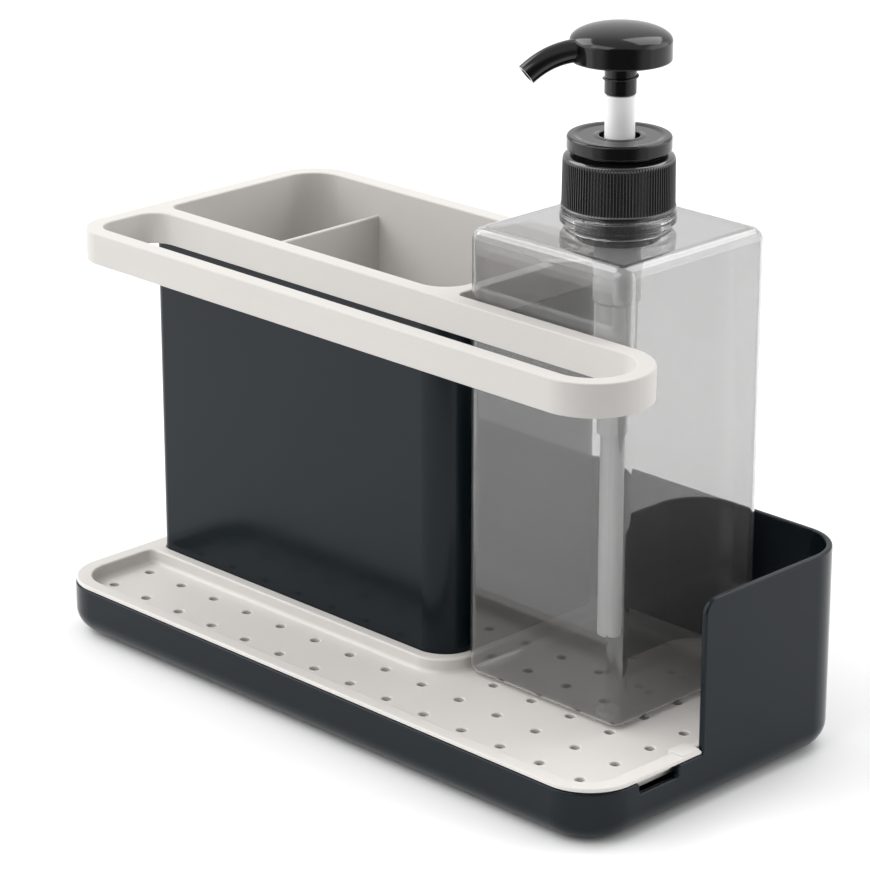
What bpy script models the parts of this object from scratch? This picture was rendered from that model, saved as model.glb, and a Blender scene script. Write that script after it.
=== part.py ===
"""Sink organizer: a shallow base with a raised rear corner wall, a perforated
drip tray, a tall bin with a two-compartment insert and towel rail, and a square
soap bottle with a press pump.

Frame: origin at the centre of the footprint, on the resting surface.
X runs along the length, Y from front to back, Z up. Built in metres.
"""
import math

import bmesh
import bpy
from mathutils import Vector

MM = 0.001

# ---------------------------------------------------------------- overall
HALF_X = 144.8          # half length
HALF_Y = 69.5           # half depth
CORNER_R = 20.0         # plan radius of the base corners
GAP = 0.3               # gap between pieces that rest on each other

# ---------------------------------------------------------------- base tray
BASE_BOTTOM = 1.0
BASE_WALL = 2.4
BASE_FLOOR = 2.4
BASE_RIM_Z = 20.7       # top of the low wall
BASE_ROUND = 9.0        # rounding of the bottom edge
WALL_TOP_Z = 78.8       # top of the raised wall
WALL_FRONT_Y = -11.8    # front end of the raised wall on the right side
WALL_LEFT_X = 10.8      # left end of the raised wall on the back
WALL_END_R = 5.5        # rounding of the raised wall's free corners
NOTCH_Y0, NOTCH_Y1 = -44.6, -24.4   # pouring notch in the right wall
NOTCH_Z = 16.2

# ---------------------------------------------------------------- feet
FOOT_R = 8.0
FOOT_H = 0.7
FOOT_X, FOOT_Y = 118.0, 45.0

# ---------------------------------------------------------------- drip tray
RIM_Z0, RIM_Z1 = 21.0, 22.6         # lip that lies on the base rim
RIM_HALF_X, RIM_HALF_Y = 144.5, 69.2
STEP_Z0 = 18.4                      # locating step inside the base wall
FLOOR_Z1, FLOOR_Z0 = 17.1, 15.3     # perforated floor
PLINTH_X1, PLINTH_Y0 = 28.6, -24.9  # raised ledge that carries the bin
HOLE_PITCH_X, HOLE_PITCH_Y = 19.425, 18.285
HOLE_X_LAST, HOLE_Y_FIRST = 122.8, -51.6
HOLE_R = 1.85

# ---------------------------------------------------------------- bin
BIN_X0, BIN_X1 = -137.4, 24.6
BIN_Y0, BIN_Y1 = -20.3, 66.3
BIN_Z0, BIN_Z1 = 21.9, 152.3
BIN_WALL = 2.2

# ---------------------------------------------------------------- insert
INS_X0, INS_X1 = -139.4, 26.0
INS_Y1 = 68.8
INS_Z0, INS_Z1 = 152.6, 165.0
RAIL_Y0 = -60.0                     # front face of the towel rail
BAR_W = 6.6                         # width of the rail bars
SLOT_Y0, SLOT_Y1 = -53.4, -22.8
RAIL_END_X = 113.0                  # centre of the rail's round end
RAIL_END_R = 22.0
LINER_WALL = 1.8
LINER_FLOOR_Z = 47.0
DIVIDER_X0, DIVIDER_X1 = -97.4, -95.4
DIVIDER_TOP_Z = 153.0
POCKET_X0, POCKET_X1 = -132.8, 20.2
POCKET_Y0, POCKET_Y1 = -15.9, 61.9

# ---------------------------------------------------------------- bottle
BOT_X, BOT_Y = 67.9, 23.5           # bottle and pump axis
BOT_SIDE = 77.0
BOT_Z0, BOT_Z1 = 17.4, 191.0
BOT_EDGE_R = 6.5                    # vertical edges
BOT_TOP_R, BOT_FOOT_R = 5.0, 4.5
BOT_WALL = 1.6
NECK_R, NECK_BORE_R = 18.2, 15.8
NECK_TOP_Z = 213.0
BEAD_R, BEAD_Z0, BEAD_Z1 = 21.0, 193.3, 197.3
PLUG_R0, PLUG_R1, PLUG_Z0 = 14.0, 15.4, 186.6    # skirt of the seal, inside the neck

# ---------------------------------------------------------------- pump
CAP_R0, CAP_R1 = 20.7, 20.2         # closure radius at its foot and shoulder
CAP_Z0, CAP_Z1 = 197.9, 218.6
DISC_R, DISC_Z0, DISC_Z1 = 18.85, 219.9, 225.0
STEM_R = 5.45
STEM_BORE_R = 1.9
STEM_TOP_Z = 239.6
SKIRT_R, SKIRT_Z0 = 6.0, 239.9
HEAD_R, HEAD_Z0, HEAD_BAND_Z, HEAD_TOP_Z = 18.25, 252.0, 259.3, 265.0
STROKE = 14.0
SPOUT_DIR = (-0.448, -0.894)
SPOUT_R0, SPOUT_R1 = 4.6, 3.9
CYL_R, CYL_BORE_R = 7.4, 6.1
CYL_UPPER_R = 8.4
TUBE_R, TUBE_BORE_R = 4.8, 3.7
TUBE_Z0 = 33.5
INLET_BALL_R = 2.4
OUTLET_BALL_R = 2.25

CIRCLE = 40                          # segments of a large turned part

for _ob in list(bpy.data.objects):
    bpy.data.objects.remove(_ob, do_unlink=True)


# ================================================================ helpers
def material(name, colour, roughness, metallic=0.0, alpha=1.0):
    m = bpy.data.materials.new(name)
    m.use_nodes = True
    b = m.node_tree.nodes["Principled BSDF"]
    b.inputs["Base Color"].default_value = (*colour, 1.0)
    b.inputs["Roughness"].default_value = roughness
    b.inputs["Metallic"].default_value = metallic
    b.inputs["Alpha"].default_value = alpha
    return m


def finish_mesh(name, bm, mat, angle=35.0):
    bmesh.ops.remove_doubles(bm, verts=bm.verts[:], dist=1e-7)
    bmesh.ops.recalc_face_normals(bm, faces=bm.faces[:])
    me = bpy.data.meshes.new(name)
    bm.to_mesh(me)
    bm.free()
    me.materials.append(mat)
    me.shade_smooth()
    me.set_sharp_from_angle(angle=math.radians(angle))
    ob = bpy.data.objects.new(name, me)
    bpy.context.scene.collection.objects.link(ob)
    return ob


def loft(rings, closed=False):
    """Skins rings of equal length, given in millimetres, and caps both ends."""
    bm = bmesh.new()
    made = [[bm.verts.new(Vector(p) * MM) for p in ring] for ring in rings]
    n = len(made[0])
    pairs = list(zip(made, made[1:]))
    if closed:
        pairs.append((made[-1], made[0]))
    for a, b in pairs:
        for i in range(n):
            j = (i + 1) % n
            bm.faces.new((a[i], a[j], b[j], b[i]))
    if not closed:
        bm.faces.new(list(reversed(made[0])))
        bm.faces.new(made[-1])
    return bm


def circle(r, z, cx=0.0, cy=0.0, n=CIRCLE):
    return [
        (cx + r * math.cos(2 * math.pi * i / n), cy + r * math.sin(2 * math.pi * i / n), z)
        for i in range(n)
    ]


def turned(profile, cx=0.0, cy=0.0, n=CIRCLE):
    """A ring-shaped solid: the closed (r, z) profile is turned about the axis."""
    return loft([circle(r, z, cx, cy, n) for r, z in profile], closed=True)


def turned_solid(profile, cx=0.0, cy=0.0, n=CIRCLE):
    """A solid turned about the axis: an open (r, z) profile with flat ends."""
    return loft([circle(r, z, cx, cy, n) for r, z in profile])


def rounded(points, radii, segs=6):
    """Outline with rounded corners. points run counter-clockwise; a radius of 0
    keeps the corner sharp, and a reflex corner is rounded the other way."""
    out = []
    n = len(points)
    for i, (p, r) in enumerate(zip(points, radii)):
        a, b = Vector(points[i - 1]), Vector(points[(i + 1) % n])
        p = Vector(p)
        if r <= 0:
            out.append((p.x, p.y))
            continue
        u, v = (a - p).normalized(), (b - p).normalized()
        half = math.acos(max(-1, min(1, u.dot(v)))) / 2
        d = r / math.tan(half)
        centre = p + (u + v).normalized() * (r / math.sin(half))
        s, e = p + u * d - centre, p + v * d - centre
        a0, a1 = math.atan2(s.y, s.x), math.atan2(e.y, e.x)
        turn = (a1 - a0 + math.pi) % (2 * math.pi) - math.pi
        k = max(2, int(round(segs * abs(turn) / (math.pi / 2))))
        for j in range(k + 1):
            t = a0 + turn * j / k
            out.append((centre.x + r * math.cos(t), centre.y + r * math.sin(t)))
    return out


def box_outline(x0, x1, y0, y1, radii, segs=6):
    return rounded([(x0, y0), (x1, y0), (x1, y1), (x0, y1)], radii, segs)


def prism(outline, z0, z1):
    return loft([[(x, y, z0) for x, y in outline], [(x, y, z1) for x, y in outline]])


def helper(bm, name="cutter"):
    me = bpy.data.meshes.new(name)
    bmesh.ops.recalc_face_normals(bm, faces=bm.faces[:])
    bm.to_mesh(me)
    bm.free()
    ob = bpy.data.objects.new(name, me)
    ob.hide_render = True
    ob.display_type = "WIRE"
    bpy.context.scene.collection.objects.link(ob)
    return ob


def combine(ob, bm, operation):
    """Joins a shape to an object, or cuts it out, and keeps the result."""
    tool = helper(bm)
    mod = ob.modifiers.new("shape", "BOOLEAN")
    mod.operation = operation
    mod.solver = "EXACT"
    mod.object = tool
    bpy.context.view_layer.update()
    made = bpy.data.meshes.new_from_object(ob.evaluated_get(bpy.context.evaluated_depsgraph_get()))
    ob.modifiers.clear()
    old = ob.data
    ob.data = made
    bpy.data.meshes.remove(old)
    bpy.data.objects.remove(tool, do_unlink=True)
    made.shade_smooth()
    made.set_sharp_from_angle(angle=math.radians(35))
    return ob


def many(shapes):
    """Several separate shapes in one mesh."""
    out = bmesh.new()
    for bm in shapes:
        me = bpy.data.meshes.new("piece")
        bmesh.ops.recalc_face_normals(bm, faces=bm.faces[:])
        bm.to_mesh(me)
        bm.free()
        out.from_mesh(me)
        bpy.data.meshes.remove(me)
    return out


# ================================================================ materials
LIGHT = material("light_grey_plastic", (0.68, 0.655, 0.625), 0.42)
DARK = material("charcoal_plastic", (0.036, 0.045, 0.050), 0.38)
RUBBER = material("grey_elastomer", (0.05, 0.05, 0.05), 0.85)
CLEAR = material("clear_smoke_bottle", (0.80, 0.81, 0.82), 0.05, alpha=0.35)
BLACK = material("gloss_black_plastic", (0.012, 0.012, 0.013), 0.22)
WHITE = material("white_plastic", (0.86, 0.86, 0.86), 0.35)
NATURAL = material("natural_plastic", (0.78, 0.79, 0.79), 0.35)
SPRING = material("spring_steel", (0.60, 0.60, 0.60), 0.30, 1.0)
SEAL = material("seal_rubber", (0.006, 0.006, 0.006), 0.30)


# ================================================================ base tray
def base_outline(inset):
    """Base outline at an inset, with points at the notch and the wall's ends."""
    r = max(CORNER_R - inset, 1.0)
    hx, hy = HALF_X - inset, HALF_Y - inset
    cx, cy = HALF_X - CORNER_R, HALF_Y - CORNER_R
    n = 8
    pts = []

    def corner(sx, sy, a0):
        for k in range(n + 1):
            t = math.radians(a0 + 90 * k / n)
            pts.append((sx * cx + r * math.cos(t), sy * cy + r * math.sin(t)))

    corner(-1, -1, 180)
    corner(1, -1, 270)
    for y in BREAKS_RIGHT:
        pts.append((hx, y))
    corner(1, 1, 0)
    for x in BREAKS_BACK:
        pts.append((x, hy))
    corner(-1, 1, 90)
    return pts


E = WALL_END_R
END_STEPS = [0.25 + E * (1 - math.cos(math.radians(a))) for a in (0, 30, 60, 90)]
END_HEIGHTS = [WALL_TOP_Z - E * (1 - math.sin(math.radians(a))) for a in (0, 30, 60, 90)]
NOTCH_BREAKS = [
    (NOTCH_Y0, BASE_RIM_Z), (NOTCH_Y0 + 0.25, NOTCH_Z + 1.2), (NOTCH_Y0 + 1.45, NOTCH_Z),
    (NOTCH_Y1 - 1.45, NOTCH_Z), (NOTCH_Y1 - 0.25, NOTCH_Z + 1.2), (NOTCH_Y1, BASE_RIM_Z),
]
RIGHT_BREAKS = NOTCH_BREAKS + [(WALL_FRONT_Y, BASE_RIM_Z)] + [
    (WALL_FRONT_Y + s, h) for s, h in zip(END_STEPS, END_HEIGHTS)
]
BACK_BREAKS = [
    (WALL_LEFT_X + s, h) for s, h in reversed(list(zip(END_STEPS, END_HEIGHTS)))
] + [(WALL_LEFT_X, BASE_RIM_Z)]
BREAKS_RIGHT = [y for y, _ in RIGHT_BREAKS]
BREAKS_BACK = [x for x, _ in BACK_BREAKS]


def base_heights():
    """Height of the wall's top edge at each point of the outline."""
    low, high = BASE_RIM_Z, WALL_TOP_Z
    return [low] * 18 + [h for _, h in RIGHT_BREAKS] + [high] * 9 + [h for _, h in BACK_BREAKS] + [low] * 9


def base_ring(inset, z):
    return [(x, y, z) for x, y in base_outline(inset)]


def base_top(inset):
    return [(x, y, z) for (x, y), z in zip(base_outline(inset), base_heights())]


rings = []
for a in (0, 22.5, 45, 67.5, 90):
    t = math.radians(a)
    rings.append(base_ring(BASE_ROUND * (1 - math.sin(t)), BASE_BOTTOM + BASE_ROUND * (1 - math.cos(t))))
rings.append(base_top(0.0))
rings.append(base_top(BASE_WALL))
INNER_R = BASE_ROUND - BASE_WALL
for a in (90, 60, 30, 0):
    t = math.radians(a)
    rings.append(base_ring(BASE_WALL + INNER_R * (1 - math.sin(t)), BASE_BOTTOM + BASE_FLOOR + INNER_R * (1 - math.cos(t))))
base_tray = finish_mesh("base_tray", loft(rings), DARK)

# Four low non-slip pads under the base.
for i, (sx, sy) in enumerate(((-1, -1), (1, -1), (1, 1), (-1, 1))):
    finish_mesh("foot_%d" % (i + 1), turned_solid(
        [(FOOT_R - 0.2, 0.0), (FOOT_R, FOOT_H * 0.4), (FOOT_R, FOOT_H)], sx * FOOT_X, sy * FOOT_Y, 20), RUBBER)

# ================================================================ drip tray
lip = rounded(
    [(-RIM_HALF_X, -RIM_HALF_Y), (RIM_HALF_X, -RIM_HALF_Y), (RIM_HALF_X, WALL_FRONT_Y - 0.5),
     (141.6, WALL_FRONT_Y - 0.5), (141.6, 66.6), (WALL_LEFT_X - 0.5, 66.6),
     (WALL_LEFT_X - 0.5, RIM_HALF_Y), (-RIM_HALF_X, RIM_HALF_Y)],
    [19.8, 19.8, 0.0, 0.0, 16.5, 0.0, 0.0, 19.8], 7)
drip_tray = finish_mesh("drip_tray", prism(lip, RIM_Z0, RIM_Z1), LIGHT)
combine(drip_tray, prism(box_outline(-141.4, 141.4, -66.4, 66.4, [16.4] * 4, 6), STEP_Z0, RIM_Z0 + 0.4), "UNION")
combine(drip_tray, prism(box_outline(-139.5, 139.5, -64.5, 64.5, [14.6] * 4, 6), FLOOR_Z0, STEP_Z0 + 0.4), "UNION")
recess = rounded(
    [(-138.0, -63.0), (138.0, -63.0), (138.0, 63.0), (PLINTH_X1, 63.0),
     (PLINTH_X1, PLINTH_Y0), (-138.0, PLINTH_Y0)],
    [13.4, 13.4, 13.4, 5.0, 14.4, 3.0], 6)
combine(drip_tray, prism(recess, FLOOR_Z1, RIM_Z1 + 5), "DIFFERENCE")
under = box_outline(-137.8, PLINTH_X1 - 1.6, PLINTH_Y0 + 1.6, 62.8, [4, 12.5, 8, 12.5], 5)
combine(drip_tray, prism(under, FLOOR_Z0 - 5, 19.8), "DIFFERENCE")
# The rim carries a low pad beside the wall, and the step stops at the notch.
combine(drip_tray, prism(box_outline(136.6, RIM_HALF_X - 0.3, -21.5, WALL_FRONT_Y - 0.9, [0.6] * 4, 2), RIM_Z0 + 0.6, RIM_Z1 + 0.6), "UNION")
combine(drip_tray, prism(box_outline(139.6, 143.0, NOTCH_Y1 - 0.8, WALL_FRONT_Y - 3.0, [0] * 4), STEP_Z0 - 1, RIM_Z0 - 0.1), "DIFFERENCE")
seat = box_outline(BIN_X0 - 0.4, BIN_X1 + 0.4, BIN_Y0 - 0.4, BIN_Y1 + 0.4, [5.4, 13.4, 12.4, 16.4], 6)
combine(drip_tray, prism(seat, BIN_Z0 - GAP, RIM_Z1 + 5), "DIFFERENCE")

holes = []
for row in range(7):
    for col in range(14):
        if row >= 2 and col < 9:
            continue
        x = HOLE_X_LAST - HOLE_PITCH_X * (13 - col)
        y = HOLE_Y_FIRST + HOLE_PITCH_Y * row
        if y > 50 and x > 120:
            y -= 0.6
        holes.append(turned_solid([(HOLE_R, FLOOR_Z0 - 1), (HOLE_R, FLOOR_Z1 + 1)], x, y, 8))
DRAIN_XY = [(x, y) for x in (-110.0, -56.4, -2.8) for y in (0.0, 46.0)]
for x, y in DRAIN_XY:
    holes.append(turned_solid([(3.0, 18.0), (3.0, 24.0)], x, y, 12))
combine(drip_tray, many(holes), "DIFFERENCE")

# ================================================================ bin
def bin_ring(inset, z):
    radii = [max(r - inset, 1.2) for r in (5.0, 13.0, 12.0, 16.0)]
    return [(x, y, z) for x, y in box_outline(BIN_X0 + inset, BIN_X1 - inset, BIN_Y0 + inset, BIN_Y1 - inset, radii, 7)]


bin_solid = loft([
    bin_ring(0.0, BIN_Z0), bin_ring(0.0, BIN_Z1),
    bin_ring(BIN_WALL, BIN_Z1), bin_ring(BIN_WALL, BIN_Z0 + BIN_WALL),
])
bin_body = finish_mesh("bin_body", bin_solid, DARK)
combine(bin_body, many([turned_solid([(3.0, 18.0), (3.0, 28.0)], x, y, 12) for x, y in DRAIN_XY]), "DIFFERENCE")

# ================================================================ insert
top_outline = rounded(
    [(INS_X0, RAIL_Y0), (RAIL_END_X + RAIL_END_R, RAIL_Y0), (RAIL_END_X + RAIL_END_R, RAIL_Y0 + 2 * RAIL_END_R),
     (INS_X1, RAIL_Y0 + 2 * RAIL_END_R), (INS_X1, INS_Y1), (INS_X0, INS_Y1)],
    [15.0, RAIL_END_R - 0.01, RAIL_END_R - 0.01, 3.0, 13.0, 20.0], 8)
insert = finish_mesh("compartment_insert", prism(top_outline, INS_Z0, INS_Z1), LIGHT)
liner = box_outline(POCKET_X0 - LINER_WALL, POCKET_X1 + LINER_WALL, POCKET_Y0 - LINER_WALL, POCKET_Y1 + LINER_WALL,
                    [4.0, 12.0, 10.0, 14.0], 5)
combine(insert, prism(liner, LINER_FLOOR_Z - LINER_WALL, INS_Z0 + 1.0), "UNION")
slot_r = (SLOT_Y1 - SLOT_Y0) / 2
slot = rounded(
    [(INS_X0 + BAR_W + 0.2, SLOT_Y0), (RAIL_END_X + slot_r, SLOT_Y0), (RAIL_END_X + slot_r, SLOT_Y1), (INS_X0 + BAR_W + 0.2, SLOT_Y1)],
    [8.4, slot_r - 0.01, slot_r - 0.01, 9.5], 6)
combine(insert, prism(slot, INS_Z0 - 3, INS_Z1 + 3), "DIFFERENCE")
mouth = box_outline(POCKET_X0, POCKET_X1, POCKET_Y0, POCKET_Y1, [5.0, 12.0, 10.0, 14.0], 6)
combine(insert, prism(mouth, DIVIDER_TOP_Z, INS_Z1 + 3), "DIFFERENCE")
left_pocket = box_outline(POCKET_X0, DIVIDER_X0, POCKET_Y0, POCKET_Y1, [5.0, 1.5, 1.5, 14.0], 6)
right_pocket = box_outline(DIVIDER_X1, POCKET_X1, POCKET_Y0, POCKET_Y1, [1.5, 12.0, 10.0, 1.5], 6)
combine(insert, many([prism(left_pocket, LINER_FLOOR_Z, DIVIDER_TOP_Z + 0.5), prism(right_pocket, LINER_FLOOR_Z, DIVIDER_TOP_Z + 0.5)]), "DIFFERENCE")
drains = [(x, y) for x in (-115.0, -75.0, -37.6, 0.0) for y in (4.0, 42.0)]
combine(insert, many([turned_solid([(2.6, 41.0), (2.6, 51.0)], x, y, 10) for x, y in drains]), "DIFFERENCE")

# ================================================================ bottle
SQ = 10                              # segments in each rounded vertical edge


def square_ring(half, r, z):
    out = []
    c = half - r
    for q in range(4):
        sx, sy = ((1, 1), (-1, 1), (-1, -1), (1, -1))[q]
        for k in range(SQ):
            t = math.radians(90 * q + 90 * (k + 0.5) / SQ)
            out.append((BOT_X + sx * c + r * math.cos(t), BOT_Y + sy * c + r * math.sin(t), z))
    return out


def neck_ring(r, z):
    return [
        (BOT_X + r * math.cos(math.radians(90 * q + 90 * (k + 0.5) / SQ)),
         BOT_Y + r * math.sin(math.radians(90 * q + 90 * (k + 0.5) / SQ)), z)
        for q in range(4) for k in range(SQ)
    ]


H = BOT_SIDE / 2
outer = []
for a in (0, 30, 60, 90):
    t = math.radians(a)
    d = BOT_FOOT_R * (1 - math.sin(t))
    outer.append(square_ring(H - d, max(BOT_EDGE_R - d, 2.0), BOT_Z0 + BOT_FOOT_R * (1 - math.cos(t))))
for a in (90, 60, 30, 0):
    t = math.radians(a)
    d = BOT_TOP_R * (1 - math.sin(t))
    outer.append(square_ring(H - d, max(BOT_EDGE_R - d, 1.5), BOT_Z1 - BOT_TOP_R * (1 - math.cos(t))))
neck = [(19.6, BOT_Z1), (18.9, BOT_Z1 + 1.0), (18.9, BEAD_Z0), (BEAD_R - 0.6, BEAD_Z0), (BEAD_R, BEAD_Z0 + 0.8),
        (BEAD_R, BEAD_Z1 - 0.8), (BEAD_R - 0.6, BEAD_Z1), (NECK_R, BEAD_Z1), (NECK_R, NECK_TOP_Z),
        (NECK_BORE_R, NECK_TOP_Z), (NECK_BORE_R, BOT_Z1 - 1.0), (NECK_BORE_R + 1.2, BOT_Z1 - BOT_WALL)]
inner = []
for a in (0, 45, 90):
    t = math.radians(a)
    r = BOT_TOP_R - BOT_WALL
    d = BOT_WALL + r * (1 - math.sin(t))
    inner.append(square_ring(H - d, max(BOT_EDGE_R - d, 1.5), BOT_Z1 - BOT_WALL - r * (1 - math.cos(t))))
for a in (90, 45, 0):
    t = math.radians(a)
    r = BOT_FOOT_R - BOT_WALL
    d = BOT_WALL + r * (1 - math.sin(t))
    inner.append(square_ring(H - d, max(BOT_EDGE_R - d, 1.5), BOT_Z0 + BOT_WALL + r * (1 - math.cos(t))))
bottle = finish_mesh("soap_bottle", loft(outer + [neck_ring(r, z) for r, z in neck] + inner), CLEAR)
# A raised helical thread on the outside of the neck, one and a quarter turns.
thread = []
TURNS, PER_TURN = 1.25, 28
steps = int(TURNS * PER_TURN)
for i in range(steps + 1):
    a = 2 * math.pi * i / PER_TURN
    z = 201.4 + 4.2 * i / PER_TURN
    fade = min(1.0, i / 3.0, (steps - i) / 3.0)
    out_r = NECK_R + 0.15 + 0.55 * fade
    ring = []
    for r, dz in ((NECK_R - 0.9, -1.0), (out_r, -0.45), (out_r, 0.45), (NECK_R - 0.9, 1.0)):
        ring.append((BOT_X + r * math.cos(a), BOT_Y + r * math.sin(a), z + dz))
    thread.append(ring)
combine(bottle, loft(thread), "UNION")

# ================================================================ pump, fixed parts
X, Y = BOT_X, BOT_Y
# The seal is a flat ring on top of the neck with a dark skirt that plugs its bore.
neck_gasket = finish_mesh("neck_gasket", turned([
    (9.2, NECK_TOP_Z + 0.3), (PLUG_R0, NECK_TOP_Z + 0.3), (PLUG_R0, PLUG_Z0), (PLUG_R1, PLUG_Z0),
    (PLUG_R1, NECK_TOP_Z + 0.3), (17.6, NECK_TOP_Z + 0.3), (17.6, NECK_TOP_Z + 1.5), (9.2, NECK_TOP_Z + 1.5)],
    X, Y, 40), SEAL)

# The pump cylinder hangs in the bottle from a flange over the neck.
pump_cylinder = finish_mesh("pump_cylinder", turned([
    (CYL_UPPER_R, 164.0), (CYL_UPPER_R, 214.8), (17.8, 214.8), (17.8, 216.3), (CYL_BORE_R, 216.3),
    (CYL_BORE_R, 141.8), (2.15, 141.8), (2.15, 141.2), (3.4, 140.6), (3.4, 137.0), (1.9, 135.6), (1.9, 131.6), (3.0, 130.6),
    (3.0, 127.0), (5.1, 127.0), (5.1, 113.0),
    (6.2, 113.0), (6.2, 129.0), (CYL_R, 132.0), (CYL_R, 163.0)], X, Y, 28), NATURAL)

dip_tube = finish_mesh("dip_tube", turned([
    (TUBE_R, TUBE_Z0), (TUBE_R, 126.7), (TUBE_BORE_R, 126.7), (TUBE_BORE_R, TUBE_Z0)], X, Y, 24), NATURAL)


def ball(name, radius, z):
    bm = bmesh.new()
    bmesh.ops.create_icosphere(bm, subdivisions=2, radius=radius * MM)
    ob = finish_mesh(name, bm, SPRING, 80)
    ob.location = Vector((X, Y, z)) * MM
    return ob


# The ball rests on the seat at the foot of the cylinder and lets soap in.
inlet_ball = ball("inlet_ball", INLET_BALL_R, 137.56)

# Disc that guides the stem and holds the cylinder; the closure turns under it.
lock_disc = finish_mesh("lock_disc", turned([
    (16.1, 216.7), (16.1, 219.2), (15.6, DISC_Z0), (DISC_R - 0.4, DISC_Z0), (DISC_R, DISC_Z0 + 0.5), (DISC_R, DISC_Z1 - 0.7),
    (DISC_R - 0.7, DISC_Z1), (7.45, DISC_Z1), (7.2, DISC_Z1 - 3.5), (5.75, DISC_Z1 - 3.5), (5.75, 216.7)], X, Y, 40), BLACK)

# ================================================================ closure
pivot = bpy.data.objects.new("closure_axis", None)
pivot.location = Vector((X, Y, CAP_Z0)) * MM
bpy.context.scene.collection.objects.link(pivot)
closure = finish_mesh("screw_closure", turned([
    (CAP_R0 - 0.3, 0.0), (CAP_R0, 0.4), (CAP_R0, 1.4), (CAP_R0 - 0.35, 1.8), (CAP_R1 - 0.1, 18.6), (CAP_R1 - 0.9, 19.4),
    (17.2, CAP_Z1 - CAP_Z0), (16.5, CAP_Z1 - CAP_Z0), (16.5, 216.6 - CAP_Z0), (19.15, 216.6 - CAP_Z0), (19.15, 0.0)], 0, 0, 48), BLACK)
closure.parent = pivot

# ================================================================ pump, moving parts
# The stem's waist takes the piston, and its top plugs into the head.
stem = finish_mesh("pump_stem", turned([
    (STEM_R, 209.0), (STEM_R, STEM_TOP_Z - 0.4), (STEM_R - 0.4, STEM_TOP_Z), (4.0, STEM_TOP_Z), (4.0, 247.5), (STEM_BORE_R, 247.5),
    (STEM_BORE_R, 201.0), (2.6, 199.8), (2.6, 195.5), (3.6, 195.5), (3.6, 209.0)], X, Y, 24), WHITE)
piston = finish_mesh("piston_seal", turned([
    (5.85, 200.0), (5.6, 202.0), (5.6, 206.2), (5.85, 208.4), (3.9, 208.4), (3.9, 200.0)], X, Y, 24), NATURAL)


# The retainer closes the stem's foot, holds the piston up and takes the spring.
spring_retainer = finish_mesh("spring_retainer", turned([
    (2.0, 193.3), (5.2, 193.3), (5.2, 194.9), (4.9, 194.9), (4.9, 199.6), (3.9, 199.6), (3.9, 195.2), (2.0, 195.2)], X, Y, 24), WHITE)
outlet_ball = ball("outlet_ball", OUTLET_BALL_R, 196.56)


# Return spring between the cylinder's lower shoulder and the retainer.
def spring_bm(z0, z1, radius, wire, turns, per_turn=12, sides=5):
    rings = []
    total = turns * per_turn
    for i in range(total + 1):
        a = 2 * math.pi * i / per_turn
        s = i / total
        z = z0 + wire + (z1 - z0 - 2 * wire) * s
        tangent = Vector((-math.sin(a) * radius, math.cos(a) * radius, (z1 - z0 - 2 * wire) / (turns * 2 * math.pi))).normalized()
        radial = Vector((math.cos(a), math.sin(a), 0))
        up = tangent.cross(radial).normalized()
        rings.append([
            Vector((X + radius * math.cos(a), Y + radius * math.sin(a), z))
            + radial * (wire * math.cos(2 * math.pi * k / sides)) + up * (wire * math.sin(2 * math.pi * k / sides))
            for k in range(sides)
        ])
    return loft(rings)


spring = finish_mesh("return_spring", spring_bm(142.1, 193.0, 4.6, 0.5, 8), SPRING, 60)

# ---------------------------------------------------------------- head
head_axis = bpy.data.objects.new("head_axis", None)
head_axis.location = Vector((X, Y, SKIRT_Z0)) * MM
bpy.context.scene.collection.objects.link(head_axis)


def z_head(z):
    return z - SKIRT_Z0


dome = [(SKIRT_R - 0.4, 0.0), (SKIRT_R, 0.5), (SKIRT_R, 6.0), (SKIRT_R + 0.8, 6.4), (SKIRT_R + 0.8, 7.0), (SKIRT_R, 7.4),
        (SKIRT_R, z_head(HEAD_Z0) - 2.2), (7.2, z_head(HEAD_Z0)),
        (HEAD_R - 0.5, z_head(HEAD_Z0)), (HEAD_R, z_head(HEAD_Z0) + 0.5), (HEAD_R, z_head(HEAD_BAND_Z) - 0.6)]
for a in (12, 30, 50, 70):
    t = math.radians(a)
    dome.append((HEAD_R * math.cos(t), z_head(HEAD_BAND_Z) + (HEAD_TOP_Z - HEAD_BAND_Z) * math.sin(t)))
dome.append((1.5, z_head(HEAD_TOP_Z) - 0.02))
head = finish_mesh("pump_head", turned_solid(dome, 0, 0, 40), BLACK)

# The spout leaves the head's side level and bends down towards its tip.
DX, DY = SPOUT_DIR
DL = math.hypot(DX, DY)
DX, DY = DX / DL, DY / DL


def spout_path(t):
    """Distance out from the axis and height, for t from 0 to 1."""
    out = 9.0 + 26.3 * t
    drop = 9.4 * max(0.0, t - 0.12) ** 1.9
    return out, z_head(256.6) - drop


def tube_along(t0, t1, r0, r1, steps, sides, cut_tip=0.0):
    rings = []
    side = Vector((-DY, DX, 0))
    for i in range(steps + 1):
        t = t0 + (t1 - t0) * i / steps
        o, z = spout_path(t)
        o2, z2 = spout_path(t + 0.01)
        axis = Vector((DX * (o2 - o), DY * (o2 - o), z2 - z)).normalized()
        up = side.cross(axis).normalized()
        if up.z < 0:
            up = -up
        r = r0 + (r1 - r0) * i / steps
        centre = Vector((DX * o, DY * o, z))
        ring = []
        for k in range(sides):
            a = 2 * math.pi * k / sides
            p = centre + side * (r * math.cos(a)) + up * (r * math.sin(a))
            if i == steps:
                p = p + axis * (cut_tip * math.sin(a))
            ring.append(p)
        rings.append(ring)
    return loft(rings)


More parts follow.
